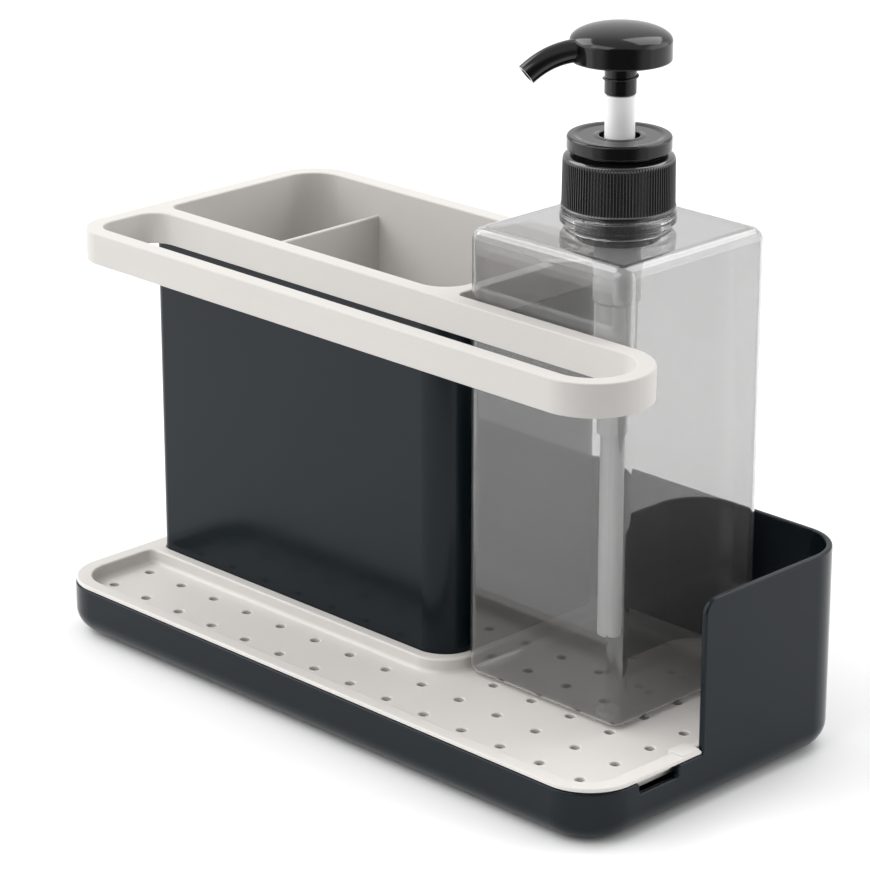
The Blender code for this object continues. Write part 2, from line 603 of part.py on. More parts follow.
combine(head, tube_along(0.0, 1.0, SPOUT_R0, SPOUT_R1, 8, 14, 1.6), "UNION")
combine(head, tube_along(-0.30, 1.14, 2.5, 2.5, 9, 10), "DIFFERENCE")
combine(head, turned_solid([(4.4, -1.0), (4.4, 8.1), (2.4, 8.1), (2.4, z_head(257.6))], 0, 0, 20), "DIFFERENCE")
head.parent = head_axis
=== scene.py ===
"""Looks of the sink organizer: fine meshes, materials, light and camera.

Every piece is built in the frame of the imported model, in millimetres, and
scaled to metres when its mesh is made.
"""
import math

import bmesh
import bpy
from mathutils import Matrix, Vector
from mathutils.geometry import tessellate_polygon


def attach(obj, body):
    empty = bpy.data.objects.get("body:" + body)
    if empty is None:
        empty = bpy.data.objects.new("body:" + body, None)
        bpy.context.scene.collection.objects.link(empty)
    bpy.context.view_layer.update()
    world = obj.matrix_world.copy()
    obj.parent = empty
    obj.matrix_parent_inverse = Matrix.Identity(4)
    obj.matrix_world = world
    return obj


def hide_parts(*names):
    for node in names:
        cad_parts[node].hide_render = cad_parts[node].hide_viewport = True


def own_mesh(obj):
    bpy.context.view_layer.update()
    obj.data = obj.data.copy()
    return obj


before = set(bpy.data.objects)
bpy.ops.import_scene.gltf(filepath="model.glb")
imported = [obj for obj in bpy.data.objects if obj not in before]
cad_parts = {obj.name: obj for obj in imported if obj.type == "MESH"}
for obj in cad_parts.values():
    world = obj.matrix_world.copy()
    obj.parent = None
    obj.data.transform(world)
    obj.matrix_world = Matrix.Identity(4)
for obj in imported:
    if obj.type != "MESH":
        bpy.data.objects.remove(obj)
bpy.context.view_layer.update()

MM = 0.001
STRONG = 16384          # weight of a flat face against the rounding beside it

# ------------------------------------------------------------------ sizes, mm
HALF_X, HALF_Y, CORNER_R = 144.8, 69.5, 20.0
BASE_Z, BASE_WALL, BASE_FLOOR_Z, BASE_ROUND = 1.0, 2.4, 3.4, 9.0
RIM_Z, WALL_Z = 20.7, 78.8
WALL_FRONT_Y, WALL_LEFT_X, WALL_END_R = -11.8, 10.8, 5.5
NOTCH_Y0, NOTCH_Y1, NOTCH_Z = -44.6, -24.4, 16.2
LIP_Z0, LIP_Z1, STEP_Z, TUB_Z, TRAY_Z = 21.0, 22.6, 18.4, 15.3, 17.1
SEAT_Z, UNDER_Z = 21.6, 19.8
BIN = (-137.4, 24.6, -20.3, 66.3)
BIN_Z0, BIN_Z1, BIN_WALL, BIN_FLOOR_Z = 21.9, 152.3, 2.2, 24.1
INS_Z0, INS_Z1 = 152.6, 165.0
LINER_Z, POCKET_Z = 45.2, 47.0
POCKET = (-132.8, 20.2, -15.9, 61.9)
AX, AY = 67.9, 23.5
BOT_HALF, BOT_Z0, BOT_Z1, BOT_WALL = 38.5, 17.4, 191.0, 0.8
DRAINS = [(x, y) for x in (-110.0, -56.4, -2.8) for y in (0.0, 46.0)]
POCKET_DRAINS = [(x, y) for x in (-115.0, -75.0, -37.6, 0.0) for y in (4.0, 42.0)]


# ================================================================ mesh toolkit
class Shape:
    """A closed surface made of rings of points. Each face keeps a weight."""

    def __init__(self):
        self.v, self.f = [], []

    def ring(self, points):
        start = len(self.v)
        self.v.extend(points)
        return list(range(start, len(self.v)))

    def band(self, a, b, weight=0):
        n = len(a)
        for i in range(n):
            j = (i + 1) % n
            self.f.append(((a[i], a[j], b[j], b[i]), weight))

    def skin(self, rings, weights=None):
        for k, (a, b) in enumerate(zip(rings, rings[1:])):
            self.band(a, b, weights[k] if weights else 0)

    def cap(self, outer, holes=(), weight=STRONG):
        loops = [outer, *holes]
        points = [[Vector((self.v[i][0], self.v[i][1], 0.0)) for i in loop] for loop in loops]
        index = [i for loop in loops for i in loop]
        for t in tessellate_polygon(points):
            self.f.append((tuple(index[k] for k in t), weight))

    def add(self, other):
        start = len(self.v)
        self.v.extend(other.v)
        self.f.extend((tuple(i + start for i in f), w) for f, w in other.f)
        return self


def rounded_path(points, radii, segs, closed):
    """Polyline with rounded corners: (x, y, nx, ny, on_arc) with the unit
    normal to the right of the way it runs. A sharp corner gets a mitred normal."""
    n = len(points)
    out = []
    for i in range(n):
        p = Vector(points[i])
        first, last = i == 0 and not closed, i == n - 1 and not closed
        if first or last:
            u = (Vector(points[1]) - p) if first else (p - Vector(points[-2]))
            u.normalize()
            out.append((p.x, p.y, u.y, -u.x, False))
            continue
        a, b = Vector(points[i - 1]), Vector(points[(i + 1) % n])
        u, v = (p - a).normalized(), (b - p).normalized()
        turn = math.atan2(u.x * v.y - u.y * v.x, u.dot(v))
        r = radii[i]
        if r <= 0 or abs(turn) < 1e-6:
            n1, n2 = Vector((u.y, -u.x)), Vector((v.y, -v.x))
            m = (n1 + n2) / (1.0 + n1.dot(n2))
            out.append((p.x, p.y, m.x, m.y, False))
            continue
        d = r * math.tan(abs(turn) / 2)
        side = 1.0 if turn > 0 else -1.0
        start = p - u * d
        centre = start + Vector((-u.y, u.x)) * (r * side)
        k = max(2, int(round(segs * abs(turn) / (math.pi / 2))))
        s = start - centre
        for j in range(k + 1):
            t = turn * j / k
            q = Vector((s.x * math.cos(t) - s.y * math.sin(t), s.x * math.sin(t) + s.y * math.cos(t)))
            m = q / r * side
            out.append((centre.x + q.x, centre.y + q.y, m.x, m.y, j < k))
    return out


def outline(points, radii, segs=12):
    """Plan outline, counter-clockwise, with outward normals."""
    return [q[:4] for q in rounded_path(points, radii, segs, True)]


def box_outline(x0, x1, y0, y1, radii, segs=12):
    return outline([(x0, y0), (x1, y0), (x1, y1), (x0, y1)], radii, segs)


def at(loop, d, z):
    """The outline moved outwards by d, at height z."""
    return [(x + nx * d, y + ny * d, z) for x, y, nx, ny in loop]


def profile(points, radii, segs=5, trim=True):
    """Rounded (offset, height) polyline and the weight of each step. With trim
    the two end points, which only give the direction, are left out."""
    path = rounded_path(points, radii, segs, False)
    weights = [0 if path[i][4] else STRONG for i in range(len(path) - 1)]
    pts = [(q[0], q[1]) for q in path]
    if trim:
        return pts[1:-1], weights[1:-1]
    return pts, weights


def wall(shape, loop, points, radii, segs=5):
    """Sweeps a profile round an outline. Returns the first and last ring."""
    pts, weights = profile(points, radii, segs)
    rings = [shape.ring(at(loop, d, z)) for d, z in pts]
    shape.skin(rings, weights)
    return rings[0], rings[-1]


def circle(r, z, cx=0.0, cy=0.0, n=24):
    return [(cx + r * math.cos(2 * math.pi * i / n), cy + r * math.sin(2 * math.pi * i / n), z) for i in range(n)]


def hole(shape, x, y, r, z_top, z_bottom, top_r, bottom_r=0.25, n=20):
    """A round hole with a rounded mouth. Returns its top and bottom rings."""
    pts, weights = profile(
        [(r + 3, z_top), (r, z_top), (r, z_bottom), (r + 3, z_bottom)], [0, top_r, bottom_r, 0], 4)
    rings = [shape.ring(circle(d, z, x, y, n)) for d, z in pts]
    shape.skin(rings, weights)
    return rings[0], rings[-1]


def turned(points, radii, segs=4, n=72, cx=AX, cy=AY):
    """Ring-shaped solid: a closed (r, z) outline turned about the axis."""
    path = rounded_path(points, radii, segs, True)
    shape = Shape()
    rings = [shape.ring(circle(q[0], q[1], cx, cy, n)) for q in path]
    for k in range(len(rings)):
        shape.band(rings[k], rings[(k + 1) % len(rings)], 0 if path[k][4] else STRONG)
    return shape


def turned_solid(points, radii, segs=4, n=72, cx=AX, cy=AY):
    """Solid turned about the axis: an open (r, z) profile with flat ends."""
    path = rounded_path(points, radii, segs, False)
    shape = Shape()
    rings = [shape.ring(circle(q[0], q[1], cx, cy, n)) for q in path]
    for k in range(len(rings) - 1):
        shape.band(rings[k], rings[k + 1], 0 if path[k][4] else STRONG)
    shape.cap(rings[0])
    shape.cap(rings[-1])
    return shape


def mesh_object(name, shape):
    bm = bmesh.new()
    verts = [bm.verts.new(Vector(p) * MM) for p in shape.v]
    layer = bm.faces.layers.int.new("__mod_weightednormals_faceweight")
    for f, w in shape.f:
        face = bm.faces.new([verts[i] for i in f])
        face[layer] = w
    bmesh.ops.recalc_face_normals(bm, faces=bm.faces[:])
    me = bpy.data.meshes.new(name)
    bm.to_mesh(me)
    bm.free()
    ob = bpy.data.objects.new(name, me)
    bpy.context.scene.collection.objects.link(ob)
    return ob


def combine(ob, shape, operation):
    """Joins a shape to an object, or cuts it out of it."""
    tool = mesh_object("cutter", shape)
    mod = ob.modifiers.new("shape", "BOOLEAN")
    mod.operation = operation
    mod.solver = "EXACT"
    mod.object = tool
    bpy.context.view_layer.update()
    made = bpy.data.meshes.new_from_object(ob.evaluated_get(bpy.context.evaluated_depsgraph_get()))
    ob.modifiers.clear()
    old = ob.data
    ob.data = made
    bpy.data.meshes.remove(old)
    old = tool.data
    bpy.data.objects.remove(tool, do_unlink=True)
    bpy.data.meshes.remove(old)
    return ob


def finish(ob, mat, body, nodes, angle=40.0, influence=True):
    ob.data.materials.clear()
    ob.data.materials.append(mat)
    ob.data.shade_smooth()
    ob.data.set_sharp_from_angle(angle=math.radians(angle))
    mod = ob.modifiers.new("normals", "WEIGHTED_NORMAL")
    mod.keep_sharp = True
    mod.use_face_influence = influence
    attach(ob, body)
    if nodes:
        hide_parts(*nodes)
    return ob


# ================================================================ materials
def new_material(name):
    m = bpy.data.materials.new(name)
    m.use_nodes = True
    return m, m.node_tree, m.node_tree.nodes["Principled BSDF"]


def noise(nt, coords, scale, detail=2.0, rough=0.5):
    n = nt.nodes.new("ShaderNodeTexNoise")
    n.inputs["Scale"].default_value = scale
    n.inputs["Detail"].default_value = detail
    n.inputs["Roughness"].default_value = rough
    nt.links.new(coords, n.inputs["Vector"])
    return n.outputs["Fac"]


def spread(nt, value, low, high, lo_in=0.3, hi_in=0.7):
    n = nt.nodes.new("ShaderNodeMapRange")
    n.inputs["From Min"].default_value = lo_in
    n.inputs["From Max"].default_value = hi_in
    n.inputs["To Min"].default_value = low
    n.inputs["To Max"].default_value = high
    nt.links.new(value, n.inputs["Value"])
    return n.outputs["Result"]


def tint(nt, value, a, b):
    n = nt.nodes.new("ShaderNodeMix")
    n.data_type = "RGBA"
    n.inputs["A"].default_value = (*a, 1.0)
    n.inputs["B"].default_value = (*b, 1.0)
    nt.links.new(value, n.inputs["Factor"])
    return n.outputs["Result"]


def bump(nt, height, strength, distance, normal=None):
    n = nt.nodes.new("ShaderNodeBump")
    n.inputs["Strength"].default_value = strength
    n.inputs["Distance"].default_value = distance
    nt.links.new(height, n.inputs["Height"])
    if normal is not None:
        nt.links.new(normal, n.inputs["Normal"])
    return n.outputs["Normal"]


def moulded(name, colour, rough, swing=0.03, grain=1500.0, grain_depth=0.00002, grain_strength=0.25,
            shade=0.025, wave=0.0, specular=0.5, sheen=0.0):
    """Injection-moulded plastic: satin grain, faint flow shading, soft waves."""
    m, nt, b = new_material(name)
    coords = nt.nodes.new("ShaderNodeTexCoord").outputs["Object"]
    broad = noise(nt, coords, 22.0, 3.0, 0.55)
    fine = noise(nt, coords, grain, 3.0, 0.6)
    a = tuple(c * (1 - shade) for c in colour)
    z = tuple(min(1.0, c * (1 + shade)) for c in colour)
    nt.links.new(tint(nt, spread(nt, broad, 0.0, 1.0), a, z), b.inputs["Base Color"])
    nt.links.new(spread(nt, noise(nt, coords, 60.0, 4.0, 0.6), rough - swing, rough + swing), b.inputs["Roughness"])
    normal = None
    if wave:
        normal = bump(nt, noise(nt, coords, 14.0, 1.0, 0.4), 1.0, wave)
    normal = bump(nt, fine, grain_strength, grain_depth, normal)
    nt.links.new(normal, b.inputs["Normal"])
    b.inputs["Specular IOR Level"].default_value = specular
    b.inputs["IOR"].default_value = 1.49
    return m


def clear_smoke(name, colour, rough, wave):
    """Blown clear plastic with a grey tint, that lets lamps through."""
    m, nt, b = new_material(name)
    out = nt.nodes["Material Output"]
    coords = nt.nodes.new("ShaderNodeTexCoord").outputs["Object"]
    b.inputs["Base Color"].default_value = (*colour, 1.0)
    b.inputs["IOR"].default_value = 1.58
    b.inputs["Transmission Weight"].default_value = 0.965
    nt.links.new(spread(nt, noise(nt, coords, 45.0, 2.0, 0.5), rough * 0.6, rough * 1.4), b.inputs["Roughness"])
    nt.links.new(bump(nt, noise(nt, coords, 16.0, 1.5, 0.4), 1.0, wave), b.inputs["Normal"])
    clear = nt.nodes.new("ShaderNodeBsdfTransparent")
    clear.inputs["Color"].default_value = (*(c * 0.97 for c in colour), 1.0)
    path = nt.nodes.new("ShaderNodeLightPath")
    mix = nt.nodes.new("ShaderNodeMixShader")
    nt.links.new(path.outputs["Is Shadow Ray"], mix.inputs["Fac"])
    nt.links.new(b.outputs["BSDF"], mix.inputs[1])
    nt.links.new(clear.outputs["BSDF"], mix.inputs[2])
    nt.links.new(mix.outputs["Shader"], out.inputs["Surface"])
    return m


def natural_plastic(name, colour, rough, weight):
    """Unpigmented plastic, milky and half see-through."""
    m, nt, b = new_material(name)
    coords = nt.nodes.new("ShaderNodeTexCoord").outputs["Object"]
    a = tuple(c * 0.96 for c in colour)
    nt.links.new(tint(nt, spread(nt, noise(nt, coords, 40.0, 2.0), 0.0, 1.0), a, colour), b.inputs["Base Color"])
    nt.links.new(spread(nt, noise(nt, coords, 160.0, 3.0), rough - 0.05, rough + 0.05), b.inputs["Roughness"])
    nt.links.new(bump(nt, noise(nt, coords, 900.0, 2.0), 0.2, 0.00002), b.inputs["Normal"])
    b.inputs["Transmission Weight"].default_value = weight
    b.inputs["IOR"].default_value = 1.49
    return m


def steel(name, colour, rough):
    m, nt, b = new_material(name)
    coords = nt.nodes.new("ShaderNodeTexCoord").outputs["Object"]
    a = tuple(c * 0.9 for c in colour)
    nt.links.new(tint(nt, spread(nt, noise(nt, coords, 300.0, 3.0), 0.0, 1.0), a, colour), b.inputs["Base Color"])
    nt.links.new(spread(nt, noise(nt, coords, 900.0, 4.0), rough - 0.08, rough + 0.08), b.inputs["Roughness"])
    nt.links.new(bump(nt, noise(nt, coords, 2200.0, 2.0), 0.3, 0.00001), b.inputs["Normal"])
    b.inputs["Metallic"].default_value = 1.0
    return m


LIGHT = moulded("light_grey_plastic", (0.557, 0.539, 0.516), 0.46, 0.03, 1500.0, 0.00002, 0.2, 0.012, 0.0, 0.15)
# Same plastic as the insert, given a lighter colour as painted light, to make up for the shade the bin and insert cast
# on the tray floor.
TRAY = moulded("light_grey_tray_lightened_for_shade", (0.640, 0.618, 0.591), 0.46, 0.03, 1500.0, 0.00002, 0.2, 0.012, 0.0, 0.24)
DARK = moulded("charcoal_plastic", (0.0044, 0.0086, 0.0122), 0.17, 0.02, 1400.0, 0.00001, 0.10, 0.06, 0.0, 0.205)
BLACK = moulded("gloss_black_plastic", (0.003, 0.003, 0.0033), 0.12, 0.015, 900.0, 0.00001, 0.05, 0.1, 0.0, 0.45)
RIBBED = moulded("ribbed_black_plastic", (0.006, 0.006, 0.0061), 0.11, 0.015, 900.0, 0.00001, 0.05, 0.1, 0.0, 1.0)
WHITE = moulded("white_plastic", (0.93, 0.93, 0.925), 0.3, 0.03, 900.0, 0.00001, 0.1, 0.01, 0.0, 0.5)
SEAL = moulded("seal_rubber", (0.004, 0.004, 0.0042), 0.28, 0.04, 1800.0, 0.00001, 0.2, 0.05, 0.0, 0.4)
PAD = moulded("grey_elastomer", (0.035, 0.036, 0.037), 0.75, 0.06, 1600.0, 0.00004, 0.5, 0.06, 0.0, 0.3)
CLEAR = clear_smoke("clear_smoke_bottle", (0.645, 0.643, 0.642), 0.004, 0.00008)
NATURAL = natural_plastic("natural_plastic", (0.90, 0.905, 0.905), 0.35, 0.0)
SPRING = steel("spring_steel", (0.6, 0.59, 0.58), 0.28)


# ================================================================ base tray
def base_plan():
    """The base's plan as straight runs and corners: where each starts along
    the perimeter, its length, and a function giving the point and normal."""
    cx, cy = HALF_X - CORNER_R, HALF_Y - CORNER_R
    quarter = math.pi / 2 * CORNER_R
    runs, s = [], 0.0
    for (x, y), (dx, dy), length in (
            ((-cx, -HALF_Y), (1, 0), 2 * cx), ((HALF_X, -cy), (0, 1), 2 * cy),
            ((cx, HALF_Y), (-1, 0), 2 * cx), ((-HALF_X, cy), (0, -1), 2 * cy)):
        runs.append((s, length, "line", (x, y, dx, dy)))
        s += length
        centre = {(1, 0): (cx, -cy), (0, 1): (cx, cy), (-1, 0): (-cx, cy), (0, -1): (-cx, -cy)}[(dx, dy)]
        start = math.atan2(-dx, dy)
        runs.append((s, quarter, "arc", (centre[0], centre[1], start)))
        s += quarter
    return runs, s


PLAN, PLAN_LENGTH = base_plan()


def plan_point(s, inset):
    s %= PLAN_LENGTH
    for start, length, kind, data in PLAN:
        if s <= start + length + 1e-9:
            t = s - start
            if kind == "line":
                x, y, dx, dy = data
                return x + dx * t - dy * inset, y + dy * t + dx * inset
            x, y, a = data
            a += t / CORNER_R
            r = CORNER_R - inset
            return x + r * math.cos(a), y + r * math.sin(a)
    return plan_point(0.0, inset)


def base_shape():
    edge = 0.8
    cx, cy = HALF_X - CORNER_R, HALF_Y - CORNER_R
    s_right, s_back = PLAN[2][0], PLAN[4][0]
    n0, n1 = s_right + NOTCH_Y0 + cy, s_right + NOTCH_Y1 + cy
    w0, w1 = s_right + WALL_FRONT_Y + cy, s_back + cx - WALL_LEFT_X
    top = [(0.0, RIM_Z), (n0, RIM_Z), (n0 + 0.06, NOTCH_Z), (n1 - 0.06, NOTCH_Z), (n1, RIM_Z), (w0, RIM_Z),
           (w0 + 0.06, WALL_Z), (w1 - 0.06, WALL_Z), (w1, RIM_Z), (PLAN_LENGTH, RIM_Z)]
    radii = [0, 1.1, 1.4, 1.4, 1.1, 1.0, WALL_END_R, WALL_END_R, 1.0, 0]
    path = rounded_path(top, radii, 10, False)
    # (s, h, ns, nh): normals of the path point up, away from the material
    nodes = [(x, y, -nx, -ny) for x, y, nx, ny, _ in path[:-1]]
    extra = []
    for start, length, kind, _ in PLAN:
        for k in range(15):
            extra.append(start + length * k / 14) if kind == "arc" else None
    for s in extra:
        if all(abs(s - q[0]) > 1e-4 for q in nodes):
            nodes.append((s, WALL_Z if w0 < s < w1 else RIM_Z, 0.0, 1.0))
    nodes.sort(key=lambda q: q[0])
    shape = Shape()
    rings, weights = [], []

    def low(inset, z, weight):
        rings.append(shape.ring([(*plan_point(q[0] - q[2] * edge, inset), z) for q in nodes]))
        weights.append(weight)

    def high(delta, inset, weight):
        rings.append(shape.ring([(*plan_point(q[0] - q[2] * delta, inset), q[1] - q[3] * delta) for q in nodes]))
        weights.append(weight)

    for k in range(11):
        t = math.pi / 2 * k / 10
        low(BASE_ROUND * (1 - math.sin(t)), BASE_Z + BASE_ROUND * (1 - math.cos(t)), STRONG if k == 10 else 0)
    for k in range(6):
        t = math.pi / 2 * k / 5
        high(edge * (1 - math.sin(t)), edge * (1 - math.cos(t)), 0)
    weights[-1] = STRONG
    for k in range(6):
        t = math.pi / 2 * k / 5
        high(edge * (1 - math.cos(t)), BASE_WALL - edge + edge * math.sin(t), 0)
    weights[-1] = STRONG
    inner = BASE_ROUND - BASE_WALL
    for k in range(9):
        t = math.pi / 2 * (1 - k / 8)
        low(BASE_WALL + inner * (1 - math.sin(t)), BASE_FLOOR_Z + inner * (1 - math.cos(t)), 0)
    shape.skin(rings, weights)
    shape.cap(rings[0])
    shape.cap(rings[-1])
    return shape


finish(mesh_object("base_shell", base_shape()), DARK, "base", ["base_tray"])

for i, (sx, sy) in enumerate(((-1, -1), (1, -1), (1, 1), (-1, 1))):
    pad = turned_solid([(2.0, 0.12), (4.2, 0.12), (5.0, 0.0), (8.0, 0.0), (8.0, 0.7), (4.0, 0.7)],
                       [0, 0.3, 0.3, 0.25, 0, 0], 4, 48, sx * 118.0, sy * 45.0)
    finish(mesh_object("grip_pad_%d" % (i + 1), pad), PAD, "base", ["foot_%d" % (i + 1)])


# ================================================================ drip tray
def tray_shape():
    shape = Shape()
    lip = outline(
        [(-144.5, -69.2), (144.5, -69.2), (144.5, -12.3), (141.6, -12.3), (141.6, 66.6), (10.3, 66.6),
         (10.3, 69.2), (-144.5, 69.2)], [19.8, 19.8, 0.0, 0.0, 16.5, 0.0, 0.0, 19.8], 16)
    step = outline(
        [(-141.4, -66.4), (141.4, -66.4), (141.4, -25.2), (139.6, -25.2), (139.6, -14.8), (141.4, -14.8),
         (141.4, 66.4), (-141.4, 66.4)], [16.4, 16.4, 0, 0, 0, 0, 16.4, 16.4], 14)
    tub = box_outline(-139.5, 139.5, -64.5, 64.5, [14.6] * 4, 14)
    recess = outline(
        [(-138.0, -63.0), (138.0, -63.0), (138.0, 63.0), (28.6, 63.0), (28.6, -24.9), (-138.0, -24.9)],
        [13.4, 13.4, 13.4, 5.0, 14.4, 3.0], 14)
    seat = box_outline(BIN[0] - 0.4, BIN[1] + 0.4, BIN[2] - 0.4, BIN[3] + 0.4, [5.4, 13.4, 12.4, 16.4], 12)
    under = box_outline(-137.8, 27.0, -23.3, 62.8, [4.0, 12.5, 8.0, 12.5], 10)
    pad = box_outline(136.6, 144.2, -21.5, -12.7, [0.6] * 4, 5)

    lip_low, lip_top = wall(shape, lip, [(-2, LIP_Z0), (0, LIP_Z0), (0, LIP_Z1), (-2, LIP_Z1)], [0, 0.35, 0.7, 0], 5)
    # the pad stands across the lip and the mouth of the recess, so it is joined later
    mouth, floor = wall(shape, recess, [(3, LIP_Z1), (0, LIP_Z1), (0, TRAY_Z), (-3, TRAY_Z)], [0, 0.9, 1.6, 0], 6)
    shape.cap(lip_top, [mouth])

    tops, bottoms = [], []
    for row in range(7):
        for col in range(14):
            if row >= 2 and col < 9:
                continue
            x, y = 122.8 - 19.425 * (13 - col), -51.6 + 18.285 * row
            if y > 50 and x > 120:
                y -= 0.6
            a, b = hole(shape, x, y, 1.85, TRAY_Z, TUB_Z, 0.55)
            tops.append(a)
            bottoms.append(b)
    shape.cap(floor, tops)

    step_top, step_low = wall(shape, step, [(3, LIP_Z0), (0, LIP_Z0), (0, STEP_Z), (-3, STEP_Z)], [0, 0.2, 0.2, 0], 3)
    shape.cap(lip_low, [step_top])
    tub_top, tub_low = wall(shape, tub, [(3, STEP_Z), (0, STEP_Z), (0, TUB_Z), (-3, TUB_Z)], [0, 0.2, 0.9, 0], 4)
    shape.cap(step_low, [tub_top])
    under_low, under_top = wall(shape, under, [(3, TUB_Z), (0, TUB_Z), (0, UNDER_Z), (-3, UNDER_Z)], [0, 0.4, 0.5, 0], 4)
    shape.cap(tub_low, [under_low, *bottoms])
    shape.cap(under_top)
    return shape, pad, seat


tray, tray_pad, tray_seat = tray_shape()
tray_ob = mesh_object("drip_tray_shell", tray)
block = Shape()
low_ring, high_ring = wall(block, tray_pad, [(-1, 21.6), (0, 21.6), (0, 23.2), (-1, 23.2)], [0, 0.1, 0.4, 0], 4)
block.cap(low_ring)
block.cap(high_ring)
combine(tray_ob, block, "UNION")
block = Shape()
low_ring, high_ring = wall(block, tray_seat, [(-1, SEAT_Z), (0, SEAT_Z), (0, 24.0), (-1, 24.0)], [0, 0.15, 0.15, 0], 3)
block.cap(low_ring)
block.cap(high_ring)
combine(tray_ob, block, "DIFFERENCE")
for x, y in DRAINS:
    block = turned_solid([(3.0, 19.0), (3.0, 22.0)], [0, 0], 2, 24, x, y)
    combine(tray_ob, block, "DIFFERENCE")
finish(tray_ob, TRAY, "drip_tray", ["drip_tray"])


# ================================================================ bin
def bin_shape():
    shape = Shape()
    loop = box_outline(*BIN, [5.0, 13.0, 12.0, 16.0], 16)
    foot, inner = wall(shape, loop, [
        (-4, BIN_Z0), (0, BIN_Z0), (0, BIN_Z1), (-BIN_WALL, BIN_Z1), (-BIN_WALL, BIN_FLOOR_Z), (-5, BIN_FLOOR_Z)],
        [0, 1.0, 0.7, 0.7, 1.8, 0], 6)
    tops, bottoms = [], []
    for x, y in DRAINS:
        a, b = hole(shape, x, y, 3.0, BIN_FLOOR_Z, BIN_Z0, 0.4)
        tops.append(a)
        bottoms.append(b)
    shape.cap(foot, bottoms)
    shape.cap(inner, tops)
    return shape


finish(mesh_object("bin_shell", bin_shape()), DARK, "bin", ["bin_body"])


# ================================================================ insert
def insert_shape():
    shape = Shape()
    edge = 0.65
    plate = outline(
        [(-139.4, -60.0), (135.0, -60.0), (135.0, -16.0), (26.0, -16.0), (26.0, 68.8), (-139.4, 68.8)],
        [15.0, 21.99, 21.99, 3.0, 13.0, 20.0], 18)
    slot = outline([(-132.6, -53.4), (128.3, -53.4), (128.3, -22.8), (-132.6, -22.8)], [8.4, 15.29, 15.29, 9.5], 18)
    pocket = box_outline(*POCKET, [5.0, 12.0, 10.0, 14.0], 16)
    liner = box_outline(POCKET[0] - 1.8, POCKET[1] + 1.8, POCKET[2] - 1.8, POCKET[3] + 1.8, [4.0, 12.0, 10.0, 14.0], 14)
    low, top = wall(shape, plate, [(-3, INS_Z0), (0, INS_Z0), (0, INS_Z1), (-3, INS_Z1)], [0, 0.5, edge, 0], 7)
    slot_top, slot_low = wall(shape, slot, [(3, INS_Z1), (0, INS_Z1), (0, INS_Z0), (3, INS_Z0)], [0, edge, 0.5, 0], 7)
    mouth, floor = wall(shape, pocket, [(3, INS_Z1), (0, INS_Z1), (0, POCKET_Z), (-3, POCKET_Z)], [0, edge, 2.2, 0], 7)
    shape.cap(top, [slot_top, mouth])
    liner_top, liner_low = wall(
        shape, liner, [(3, INS_Z0), (0, INS_Z0), (0, LINER_Z), (-3, LINER_Z)], [0, 0.3, 2.0, 0], 5)
    shape.cap(low, [slot_low, liner_top])
    tops, bottoms = [], []
    for x, y in POCKET_DRAINS:
        a, b = hole(shape, x, y, 2.6, POCKET_Z, LINER_Z, 0.5)
        tops.append(a)
        bottoms.append(b)
    shape.cap(floor, tops)
    shape.cap(liner_low, bottoms)
    return shape


insert_ob = mesh_object("compartment_shell", insert_shape())


def divider_shape():
    """Plate across the pocket: its section is swept along Y, top edge rounded."""
    section = rounded_path([(-97.4, 46.1), (-95.4, 46.1), (-95.4, 153.0), (-97.4, 153.0)], [0, 0, 0.8, 0.8], 6, True)
    shape = Shape()
    a = shape.ring([(q[0], -16.8, q[1]) for q in section])
    b = shape.ring([(q[0], 62.8, q[1]) for q in section])
    shape.band(a, b, STRONG)
    shape.f.append((tuple(a), STRONG))
    shape.f.append((tuple(b), STRONG))
    return shape


combine(insert_ob, divider_shape(), "UNION")
finish(insert_ob, LIGHT, "insert", ["compartment_insert"])


# ================================================================ bottle
SQ = 18


def square_ring(half, r, z):
    c, out = half - r, []
    for q in range(4):
        sx, sy = ((1, 1), (-1, 1), (-1, -1), (1, -1))[q]
        for k in range(SQ + 1):
            t = math.radians(90 * q + 90 * k / SQ)
            out.append((AX + sx * c + r * math.cos(t), AY + sy * c + r * math.sin(t), z))
    return out


def neck_ring(r, z):
    """Circle with as many points as a square ring."""
    out = []
    for q in range(4):
        for k in range(SQ + 1):
            t = math.radians(90 * q + 2 + 86 * k / SQ)
            out.append((AX + r * math.cos(t), AY + r * math.sin(t), z))
    return out


